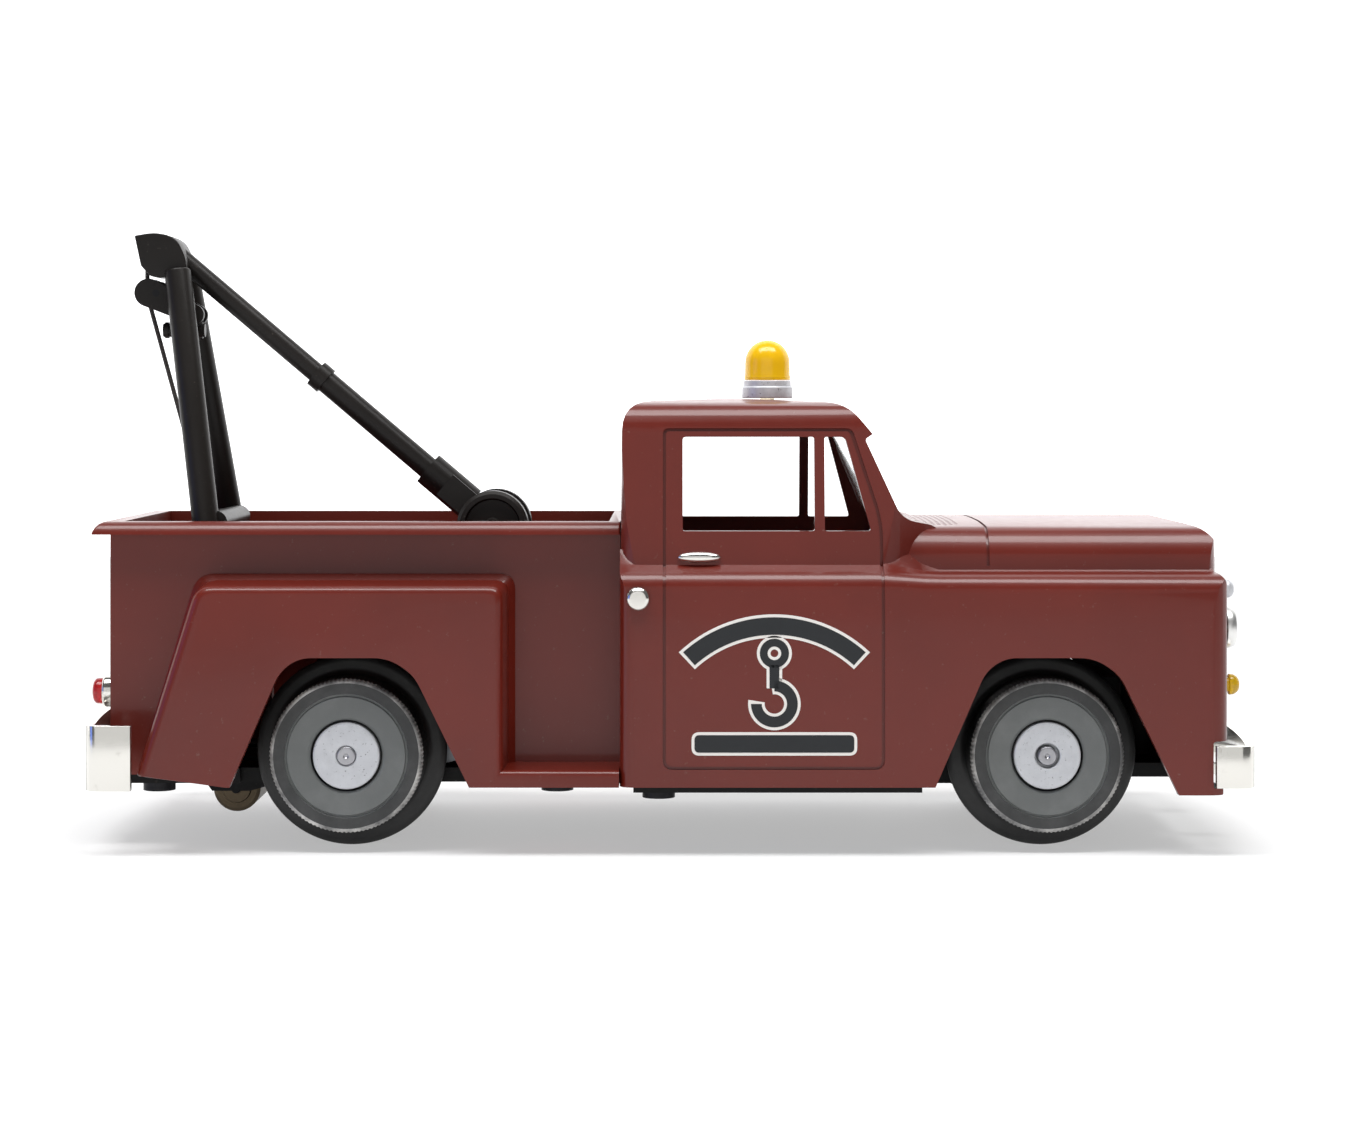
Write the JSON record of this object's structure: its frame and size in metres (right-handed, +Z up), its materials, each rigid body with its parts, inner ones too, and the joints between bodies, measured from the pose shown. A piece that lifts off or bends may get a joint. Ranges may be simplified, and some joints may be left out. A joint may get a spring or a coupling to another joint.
{
  "type": "toy tow truck",
  "caption": "Motorised toy tow truck for an O gauge track: pickup body with rear hoist, roof beacon, flanged wheels, steering front axle and centre-rail pickups.",
  "frame": {"origin": "below the middle of the object, at the lowest point of the wheel flanges", "axes": "+X forwards along the truck, +Y to the truck's left, +Z up"},
  "size_m": [0.1232, 0.0474, 0.0651],
  "materials": {
    "body_plastic": "satin oxide red moulding",
    "black_plastic": "moulded, fine texture",
    "tyre_black": "moulded tyre with a knurled face",
    "chrome_trim": "vacuum plated",
    "zinc": "bright die-cast",
    "steel": "drawn",
    "bronze": "turned",
    "white_nylon": "moulded",
    "clear_window": "clear moulding",
    "clear_lens": "clear moulding",
    "red_lens": "translucent red",
    "amber_lens": "translucent amber",
    "yellow_dome": "translucent yellow",
    "bulb": "clear bulb",
    "line_black": "twisted thread",
    "board_green": "solder mask",
    "component_black": "moulded"
  },
  "bodies": {
    "truck": {"cab_body": "body_plastic", "bed_body": "body_plastic", "bed_floor": "body_plastic", "chassis_frame": "black_plastic", "cab_floor_cover": "black_plastic", "mast_frame": "black_plastic", "boom_rod": "black_plastic", "boom_collar": "black_plastic", "boom_tube": "black_plastic", "boom_sleeve": "black_plastic", "winch_stand": "black_plastic", "cable_guide": "black_plastic", "sheave_bracket": "black_plastic", "tow_hook": "black_plastic", "front_bumper": "chrome_trim", "rear_bumper": "chrome_trim", "radiator_grille": "chrome_trim", "headlight_bezels": "chrome_trim", "tail_light_bezels": "chrome_trim", "door_handles": "chrome_trim", "filler_cap": "chrome_trim", "beacon_base": "zinc", "marker_lamps": "zinc", "sheave_pin": "steel", "stow_eye": "steel", "motor_can": "steel", "king_pin": "steel", "pickup_pivot_pins": "steel", "pickup_springs": "steel", "chassis_screws": "steel", "rear_bushes": "bronze", "window_glazing": "clear_window", "headlight_lenses": "clear_lens", "tail_light_lenses": "red_lens", "turn_signal_lenses": "amber_lens", "beacon_lens": "yellow_dome", "lamp_bulbs": "bulb", "tow_line": "line_black", "circuit_board": "board_green", "board_components": "component_black"},
    "rear_drive": {"rear_axle": "steel", "rear_tyre_left": "tyre_black", "rear_tyre_right": "tyre_black", "rear_hubs": "zinc", "axle_gear": "white_nylon"},
    "motor_rotor": {"motor_pinion": "bronze"},
    "front_steering": {"steering_yoke": "black_plastic", "front_axle": "steel"},
    "front_wheel_left": {"front_tyre_left": "tyre_black", "front_hub_left": "zinc"},
    "front_wheel_right": {"front_tyre_right": "tyre_black", "front_hub_right": "zinc"},
    "rear_pickup": {"rear_pickup_arm": "black_plastic"},
    "rear_roller": {"rear_pickup_roller": "bronze"},
    "front_pickup": {"front_pickup_arm": "black_plastic"},
    "front_roller": {"front_pickup_roller": "bronze"},
    "winch": {"winch_drum": "black_plastic", "wound_line": "line_black"},
    "sheave": {"sheave_wheel": "black_plastic"}
  },
  "joints": [
    {"name": "rear_axle_spin", "type": "hinge", "parent": "truck", "child": "rear_drive", "pos_m": [-0.0335, 0, 0.01], "axis": [0, 1, 0], "continuous": true},
    {"name": "motor_spin", "type": "hinge", "parent": "truck", "child": "motor_rotor", "pos_m": [-0.02488, 0, 0.014], "axis": [0, 1, 0], "continuous": true},
    {"name": "front_steer", "type": "hinge", "parent": "truck", "child": "front_steering", "pos_m": [0.039, 0, 0.0155], "axis": [0, 0, 1], "range_deg": [-6, 6]},
    {"name": "front_left_wheel_spin", "type": "hinge", "parent": "front_steering", "child": "front_wheel_left", "pos_m": [0.039, 0.018, 0.01], "axis": [0, 1, 0], "continuous": true},
    {"name": "front_right_wheel_spin", "type": "hinge", "parent": "front_steering", "child": "front_wheel_right", "pos_m": [0.039, -0.018, 0.01], "axis": [0, 1, 0], "continuous": true},
    {"name": "rear_pickup_tilt", "type": "hinge", "parent": "truck", "child": "rear_pickup", "pos_m": [-0.0408, 0, 0.00715], "axis": [0, 1, 0], "range_deg": [-6, 8], "stiffness_Nm_per_rad": 0.0002},
    {"name": "rear_roller_spin", "type": "hinge", "parent": "rear_pickup", "child": "rear_roller", "pos_m": [-0.0472, 0, 0.00455], "axis": [0, 1, 0], "continuous": true},
    {"name": "front_pickup_tilt", "type": "hinge", "parent": "truck", "child": "front_pickup", "pos_m": [0.029, 0, 0.00715], "axis": [0, 1, 0], "range_deg": [-8, 6], "stiffness_Nm_per_rad": 0.0002},
    {"name": "front_roller_spin", "type": "hinge", "parent": "front_pickup", "child": "front_roller", "pos_m": [0.0354, 0, 0.00455], "axis": [0, 1, 0], "continuous": true},
    {"name": "winch_spin", "type": "hinge", "parent": "truck", "child": "winch", "pos_m": [-0.0194, 0, 0.033], "axis": [0, 1, 0], "continuous": true},
    {"name": "sheave_spin", "type": "hinge", "parent": "truck", "child": "sheave", "pos_m": [-0.05655, 0, 0.05855], "axis": [0, 1, 0], "continuous": true}
  ],
  "couplings": [
    {"joint": "motor_spin", "follows": "rear_axle_spin", "ratio": -2.1667},
    {"joint": "sheave_spin", "follows": "winch_spin", "ratio": 1.84}
  ]
}
